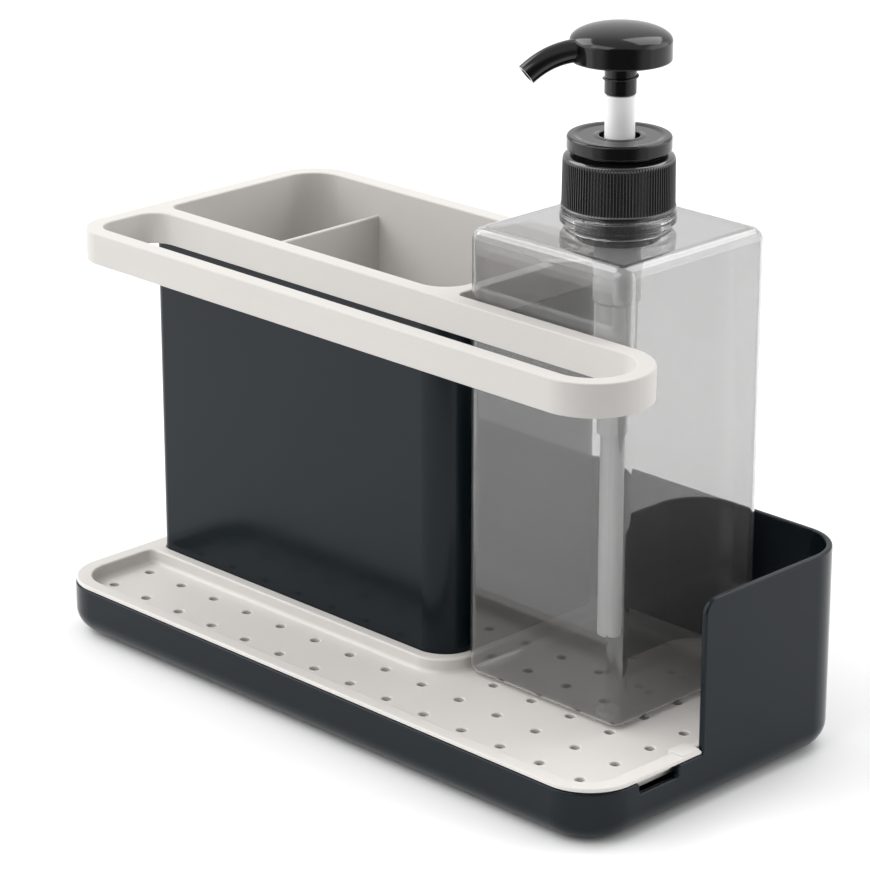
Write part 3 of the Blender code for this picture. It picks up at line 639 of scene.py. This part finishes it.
def bottle_shape():
    shape = Shape()
    rings, weights = [], []

    def add(points, weight=0):
        rings.append(shape.ring(points))
        weights.append(weight)

    edge_r, top_r, foot_r = 5.8, 5.0, 4.5
    for k in range(8):
        t = math.pi / 2 * k / 7
        d = foot_r * (1 - math.sin(t))
        add(square_ring(BOT_HALF - d, max(edge_r - d, 2.0), BOT_Z0 + foot_r * (1 - math.cos(t))), STRONG if k == 7 else 0)
    for k in range(8):
        t = math.pi / 2 * (1 - k / 7)
        d = top_r * (1 - math.sin(t))
        add(square_ring(BOT_HALF - d, max(edge_r - d, 1.5), BOT_Z1 - top_r * (1 - math.cos(t))), STRONG if k == 7 else 0)
    neck, neck_w = profile([
        (30.0, BOT_Z1), (18.9, BOT_Z1), (18.9, 193.3), (21.0, 193.3), (21.0, 197.3), (18.2, 197.3),
        (18.2, 213.0), (15.8, 213.0), (15.8, BOT_Z1 - BOT_WALL), (24.0, BOT_Z1 - BOT_WALL)],
        [0, 0.7, 0.2, 0.8, 0.8, 0.4, 0.5, 0.5, 1.2, 0], 5)
    for (r, z), w in zip(neck, neck_w + [STRONG]):
        add(neck_ring(r, z), w)
    for k in range(7):
        t = math.pi / 2 * k / 6
        r = top_r - BOT_WALL
        d = BOT_WALL + r * (1 - math.sin(t))
        add(square_ring(BOT_HALF - d, max(edge_r - d, 1.5), BOT_Z1 - BOT_WALL - r * (1 - math.cos(t))), STRONG if k == 6 else 0)
    for k in range(7):
        t = math.pi / 2 * (1 - k / 6)
        r = foot_r - BOT_WALL
        d = BOT_WALL + r * (1 - math.sin(t))
        add(square_ring(BOT_HALF - d, max(edge_r - d, 1.5), BOT_Z0 + BOT_WALL + r * (1 - math.cos(t))))
    shape.skin(rings, weights)
    shape.cap(rings[0])
    shape.cap(rings[-1])
    return shape


def thread_shape():
    """Raised helix on the neck, one and a quarter turns, fading at both ends."""
    shape = Shape()
    per_turn, steps = 56, 70
    rings = []
    for i in range(steps + 1):
        a = 2 * math.pi * i / per_turn
        z = 201.4 + 4.2 * i / per_turn
        fade = min(1.0, i / 6.0, (steps - i) / 6.0)
        out_r = 18.35 + 0.55 * math.sin(fade * math.pi / 2)
        ring = []
        for r, dz in ((17.3, -1.0), (out_r - 0.12, -0.5), (out_r, -0.3), (out_r, 0.3), (out_r - 0.12, 0.5), (17.3, 1.0)):
            ring.append((AX + r * math.cos(a), AY + r * math.sin(a), z + dz))
        rings.append(shape.ring(ring))
    shape.skin(rings)
    shape.f.append((tuple(rings[0]), 0))
    shape.f.append((tuple(rings[-1]), 0))
    return shape


bottle_ob = mesh_object("bottle_shell", bottle_shape())
combine(bottle_ob, thread_shape(), "UNION")
finish(bottle_ob, CLEAR, "bottle", ["soap_bottle"])


# ================================================================ pump, fixed
def piece(name, shape, mat, body, nodes, angle=40.0):
    return finish(mesh_object(name, shape), mat, body, nodes, angle)


# The seal ring hangs a black sleeve down to z 186.6, below the bottle's top wall. The sleeve is a painted reflection: a
# dark band standing for the closure mirrored in the neck.
piece("neck_seal_with_painted_reflection_sleeve", turned([
    (9.2, 213.3), (14.0, 213.3), (14.0, 186.6), (15.4, 186.6), (15.4, 213.3), (17.6, 213.3), (17.6, 214.5), (9.2, 214.5)],
    [0.3, 0.3, 0.3, 0.3, 0.2, 0.3, 0.3, 0.3], 4, 96), SEAL, "gasket", ["neck_gasket"])

piece("pump_barrel", turned([
    (8.4, 164.0), (8.4, 214.8), (17.8, 214.8), (17.8, 216.3), (6.1, 216.3), (6.1, 141.8), (2.15, 141.8), (2.15, 141.2),
    (3.4, 140.6), (3.4, 137.0), (1.9, 135.6), (1.9, 131.6), (3.0, 130.6), (3.0, 127.0), (5.1, 127.0), (5.1, 113.0),
    (6.2, 113.0), (6.2, 129.0), (7.4, 132.0), (7.4, 163.0)],
    [0.3, 0.6, 0.3, 0.3, 0.3, 0.4, 0.1, 0.1, 0.1, 0.3, 0.2, 0.2, 0.2, 0.2, 0.2, 0.2, 0.3, 0.5, 0.5, 0.3], 3, 64),
    NATURAL, "pump_unit", ["pump_cylinder"])

piece("suction_tube", turned([(4.8, 33.5), (4.8, 126.7), (3.7, 126.7), (3.7, 33.5)], [0.25] * 4, 3, 56),
      NATURAL, "pump_unit", ["dip_tube"])

piece("lock_collar", turned([
    (16.1, 216.7), (16.1, 219.2), (15.7, 219.9), (18.85, 219.9), (18.85, 225.0), (16.4, 225.0), (14.6, 224.55), (9.6, 224.55), (8.2, 224.8), (7.35, 224.8),
    (7.2, 221.5), (5.75, 221.5), (5.75, 216.7)], [0.2, 0.2, 0.2, 0.5, 1.0, 1.0, 1.5, 1.0, 0.4, 0.3, 0.15, 0.2, 0.2], 5, 128),
    BLACK, "pump_unit", ["lock_disc"])


# ================================================================ closure
def closure_shape():
    """Screw closure with fine vertical ribs between two smooth bands."""
    shape = Shape()
    ribs, per = 109, 8
    n = ribs * per
    wave = []
    for i in range(n):
        t = (i % per) / per
        wave.append(0.5 - 0.5 * math.cos(2 * math.pi * t))
    wave = [w ** 0.85 for w in wave]

    def ring(r, z, depth=0.0):
        return shape.ring([
            (AX + (r - depth * wave[i]) * math.cos(2 * math.pi * i / n),
             AY + (r - depth * wave[i]) * math.sin(2 * math.pi * i / n), z) for i in range(n)])

    z0 = 197.9
    rows = [(19.15, z0 + 0.3, 0, 0), (19.35, z0 + 0.06, 0, 0), (19.6, z0, 0, STRONG), (20.35, z0, 0, 0), (20.6, z0 + 0.1, 0, 0),
            (20.7, z0 + 0.35, 0, STRONG), (20.7, z0 + 1.35, 0, 0), (20.62, z0 + 1.6, 0, 0), (20.42, z0 + 1.75, 0, 0),
            (20.38, z0 + 2.1, 0.52, 0), (20.3, 206.0, 0.52, 0), (20.16, 215.6, 0.52, 0), (20.1, 216.5, 0.36, 0), (20.02, 216.9, 0.0, 0),
            (19.8, 217.3, 0, 0), (19.4, 217.65, 0, 0), (18.9, 217.9, 0, STRONG), (17.6, 218.42, 0, 0), (17.2, 218.57, 0, 0),
            (16.9, 218.6, 0, 0), (16.65, 218.5, 0, 0), (16.5, 218.25, 0, STRONG), (16.5, 216.8, 0, 0), (16.65, 216.6, 0, STRONG),
            (18.9, 216.6, 0, 0), (19.15, 216.35, 0, STRONG)]
    rings = [ring(r, z, d) for r, z, d, _ in rows]
    for k in range(len(rings)):
        shape.band(rings[k], rings[(k + 1) % len(rings)], rows[k][3])
    return shape


finish(mesh_object("ribbed_closure", closure_shape()), RIBBED, "closure", ["screw_closure"], 75.0, False)

# ================================================================ pump, moving
piece("stem", turned([
    (5.45, 209.0), (5.45, 239.6), (4.0, 239.6), (4.0, 247.5), (1.9, 247.5), (1.9, 201.0), (2.6, 199.8), (2.6, 195.5),
    (3.6, 195.5), (3.6, 209.0)], [0.3, 0.4, 0.1, 0.2, 0.1, 0.1, 0.1, 0.1, 0.1, 0.1], 4, 72),
    WHITE, "plunger", ["pump_stem"])
piece("piston_ring", turned([
    (5.85, 200.0), (5.6, 202.0), (5.6, 206.2), (5.85, 208.4), (3.9, 208.4), (3.9, 200.0)], [0.15] * 6, 3, 56),
    NATURAL, "plunger", ["piston_seal"])
piece("spring_cup", turned([
    (2.0, 193.3), (5.2, 193.3), (5.2, 194.9), (4.9, 194.9), (4.9, 199.6), (3.9, 199.6), (3.9, 195.2), (2.0, 195.2)],
    [0.12] * 8, 3, 56), WHITE, "plunger", ["spring_retainer"])


def ball_shape(r, z, n=40):
    shape = Shape()
    rings = [shape.ring(circle(r * math.sin(math.pi * k / 20), z - r * math.cos(math.pi * k / 20), AX, AY, n)) for k in range(1, 20)]
    shape.skin(rings)
    shape.cap(rings[0], weight=0)
    shape.cap(rings[-1], weight=0)
    return shape


piece("inlet_valve_ball", ball_shape(2.4, 137.56), SPRING, "inlet_valve", ["inlet_ball"], 80.0)
piece("outlet_valve_ball", ball_shape(2.25, 196.56), SPRING, "outlet_valve", ["outlet_ball"], 80.0)


def spring_shape(z0, z1, radius, wire, turns, per_turn=28, sides=10):
    """Round wire coiled about the axis at an even pitch."""
    shape = Shape()
    rings = []
    total = turns * per_turn
    for i in range(total + 1):
        a = 2 * math.pi * i / per_turn
        z = z0 + wire + (z1 - z0 - 2 * wire) * i / total
        tangent = Vector((-math.sin(a) * radius, math.cos(a) * radius, (z1 - z0 - 2 * wire) / (turns * 2 * math.pi))).normalized()
        radial = Vector((math.cos(a), math.sin(a), 0))
        up = tangent.cross(radial).normalized()
        centre = Vector((AX + radius * math.cos(a), AY + radius * math.sin(a), z))
        rings.append(shape.ring([tuple(
            centre + radial * (wire * math.cos(2 * math.pi * k / sides)) + up * (wire * math.sin(2 * math.pi * k / sides)))
            for k in range(sides)]))
    shape.skin(rings)
    shape.f.append((tuple(rings[0]), 0))
    shape.f.append((tuple(rings[-1]), 0))
    return shape


coil = mesh_object("coil_spring", spring_shape(142.1, 193.0, 4.6, 0.5, 8))
coil.data.materials.append(SPRING)
coil.data.shade_smooth()
coil.data.set_sharp_from_angle(angle=math.radians(60))
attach(coil, "pump_unit")
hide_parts("return_spring")
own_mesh(coil)

# ================================================================ head
SPOUT = Vector((-0.448, -0.894)).normalized()


def head_body():
    z = 239.9
    points = [(5.0, z), (5.75, z), (5.75, z + 6.3), (5.75, z + 9.2), (6.9, 252.0), (18.25, 252.0), (18.25, 259.0)]
    radii = [0, 0.3, 0, 1.2, 0.6, 0.7, 0]
    path = rounded_path(points, radii, 6, False)
    prof = [(q[0], q[1]) for q in path]
    weights = [0 if q[4] else STRONG for q in path]
    for k in range(1, 20):
        t = math.radians(90 * k / 20)
        prof.append((18.25 * math.cos(t) ** 0.96, 259.0 + 6.0 * math.sin(t)))
        weights.append(0)
    shape = Shape()
    rings = [shape.ring(circle(r, h, AX, AY, 112)) for r, h in prof]
    shape.skin(rings, weights)
    shape.cap(rings[0])
    shape.cap(rings[-1], weight=0)
    return shape


def spout_path(t):
    out = 9.0 + 26.3 * t
    drop = 10.4 * max(0.0, t - 0.12) ** 2.6
    return out, 256.6 - drop


def spout_tube(t0, t1, r0, r1, steps, sides, cut_tip=0.0):
    shape = Shape()
    rings = []
    side = Vector((-SPOUT.y, SPOUT.x, 0))
    for i in range(steps + 1):
        t = t0 + (t1 - t0) * i / steps
        o, z = spout_path(t)
        o2, z2 = spout_path(t + 0.01)
        axis = Vector((SPOUT.x * (o2 - o), SPOUT.y * (o2 - o), z2 - z)).normalized()
        up = side.cross(axis).normalized()
        if up.z < 0:
            up = -up
        r = r0 + (r1 - r0) * i / steps
        centre = Vector((AX + SPOUT.x * o, AY + SPOUT.y * o, z))
        ring = []
        for k in range(sides):
            a = 2 * math.pi * k / sides
            p = centre + side * (r * math.cos(a)) + up * (r * math.sin(a))
            if cut_tip:
                p = p + axis * (cut_tip * math.sin(a) * max(0.0, (i - steps + 6) / 6))
            ring.append(tuple(p))
        rings.append(shape.ring(ring))
    shape.skin(rings)
    shape.f.append((tuple(rings[0]), 0))
    shape.f.append((tuple(rings[-1]), STRONG))
    return shape


def lug_shape():
    """Low helical lug on the skirt that catches in the collar when locked."""
    shape = Shape()
    rings = []
    steps = 60
    for i in range(steps + 1):
        a = math.radians(200 + 300 * i / steps)
        z = 245.2 + 1.6 * i / steps
        fade = math.sin(min(1.0, i / 6.0, (steps - i) / 6.0) * math.pi / 2)
        out_r = 5.8 + 0.7 * fade
        ring = [(AX + r * math.cos(a), AY + r * math.sin(a), z + dz)
                for r, dz in ((5.2, -0.55), (out_r - 0.1, -0.3), (out_r, -0.1), (out_r, 0.1), (out_r - 0.1, 0.3), (5.2, 0.55))]
        rings.append(shape.ring(ring))
    shape.skin(rings)
    shape.f.append((tuple(rings[0]), 0))
    shape.f.append((tuple(rings[-1]), 0))
    return shape


head_ob = mesh_object("press_head", head_body())
combine(head_ob, lug_shape(), "UNION")
combine(head_ob, spout_tube(0.0, 1.0, 4.3, 3.9, 40, 48, -0.2), "UNION")
combine(head_ob, spout_tube(-0.30, 1.14, 2.5, 2.5, 40, 28), "DIFFERENCE")
combine(head_ob, turned_solid([(4.4, 238.9), (4.4, 248.0), (2.4, 248.0), (2.4, 257.5)], [0, 0, 0, 0], 4, 40), "DIFFERENCE")
finish(head_ob, BLACK, "head", ["pump_head"], 38.0, False)

# ================================================================ stage
floor_me = bpy.data.meshes.new("floor")
# A wide table top whose front edge lies 0.42 m in front of the object.
EDGE, SIDE = 0.42 * math.sqrt(2.0), 1.5
floor_me.from_pydata(
    [(-SIDE, -SIDE - EDGE, 0.0), (SIDE + EDGE, SIDE, 0.0), (-SIDE, SIDE, 0.0)], [], [(0, 1, 2)])
floor_ob = bpy.data.objects.new("floor", floor_me)
bpy.context.scene.collection.objects.link(floor_ob)
FLOOR, fnt, fb = new_material("pale_floor")
fb.inputs["Base Color"].default_value = (0.90, 0.90, 0.90, 1.0)
fb.inputs["Roughness"].default_value = 0.75
fb.inputs["Specular IOR Level"].default_value = 0.1
floor_me.materials.append(FLOOR)

world = bpy.data.worlds.new("studio")
bpy.context.scene.world = world
world.use_nodes = True
wnt = world.node_tree
bg = wnt.nodes["Background"]
wc = wnt.nodes.new("ShaderNodeTexCoord")


def facing(direction, low, high):
    """0 to 1 as the world direction comes near the given one."""
    d = Vector(direction).normalized()
    dot = wnt.nodes.new("ShaderNodeVectorMath")
    dot.operation = "DOT_PRODUCT"
    dot.inputs[1].default_value = d
    wnt.links.new(wc.outputs["Generated"], dot.inputs[0])
    ramp = wnt.nodes.new("ShaderNodeMapRange")
    ramp.interpolation_type = "SMOOTHERSTEP"
    ramp.inputs["From Min"].default_value = low
    ramp.inputs["From Max"].default_value = high
    wnt.links.new(dot.outputs["Value"], ramp.inputs["Value"])
    return ramp.outputs["Result"]


def world_mix(fac, a, b):
    n = wnt.nodes.new("ShaderNodeMix")
    n.data_type = "RGBA"
    wnt.links.new(fac, n.inputs["Factor"])
    for socket, value in (("A", a), ("B", b)):
        if isinstance(value, tuple):
            n.inputs[socket].default_value = (*value, 1.0)
        else:
            wnt.links.new(value, n.inputs[socket])
    return n.outputs["Result"]


# White all round, brighter at both flanks and darker on the side the object is
# looked at from.
tone = world_mix(facing((-0.66, 0.70, 0.25), 0.55, 0.90), (0.62, 0.62, 0.62), (0.75, 0.75, 0.75))
tone = world_mix(facing((-0.74, -0.64, 0.22), 0.74, 0.97), tone, (1.75, 1.75, 1.75))
tone = world_mix(facing((0.66, 0.72, 0.22), 0.74, 0.97), tone, (1.8, 1.8, 1.8))
tone = world_mix(facing((0.70, -0.70, -0.05), 0.58, 0.93), tone, (0.08, 0.081, 0.082))
lp = wnt.nodes.new("ShaderNodeLightPath")
tone = world_mix(lp.outputs["Is Camera Ray"], tone, (1.0, 1.0, 1.0))
wnt.links.new(tone, bg.inputs["Color"])
bg.inputs["Strength"].default_value = 1.26


def area(name, location, target, size, power, colour=(1, 1, 1)):
    data = bpy.data.lights.new(name, "AREA")
    data.shape = "RECTANGLE"
    data.size, data.size_y = size
    data.energy = power
    data.color = colour
    ob = bpy.data.objects.new(name, data)
    ob.location = location
    ob.rotation_euler = (Vector(target) - Vector(location)).to_track_quat("-Z", "Y").to_euler()
    bpy.context.scene.collection.objects.link(ob)
    return ob


area("top_left_soft", (-1.05, -0.30, 1.12), (0.02, 0, 0.1), (1.0, 0.8), 8.2)
area("top_right_soft", (0.15, 0.78, 1.28), (0.02, 0, 0.1), (0.9, 0.9), 6.8)
area("front_soft", (-0.10, -1.05, 1.10), (0.02, 0, 0.1), (1.1, 0.9), 6.6)

# ================================================================ camera
cam_data = bpy.data.cameras.new("camera")
cam_data.lens = 146.60
cam_data.sensor_width = 36.0
cam_data.clip_start = 0.02
cam_data.clip_end = 30.0
cam = bpy.data.objects.new("camera", cam_data)
cam.location = (0.8852, -0.8775, 0.5509)
cam.rotation_euler = (math.radians(70.123), 0.0, math.radians(45.289))
bpy.context.scene.collection.objects.link(cam)
bpy.context.scene.camera = cam
bpy.context.scene.view_settings.view_transform = "Standard"
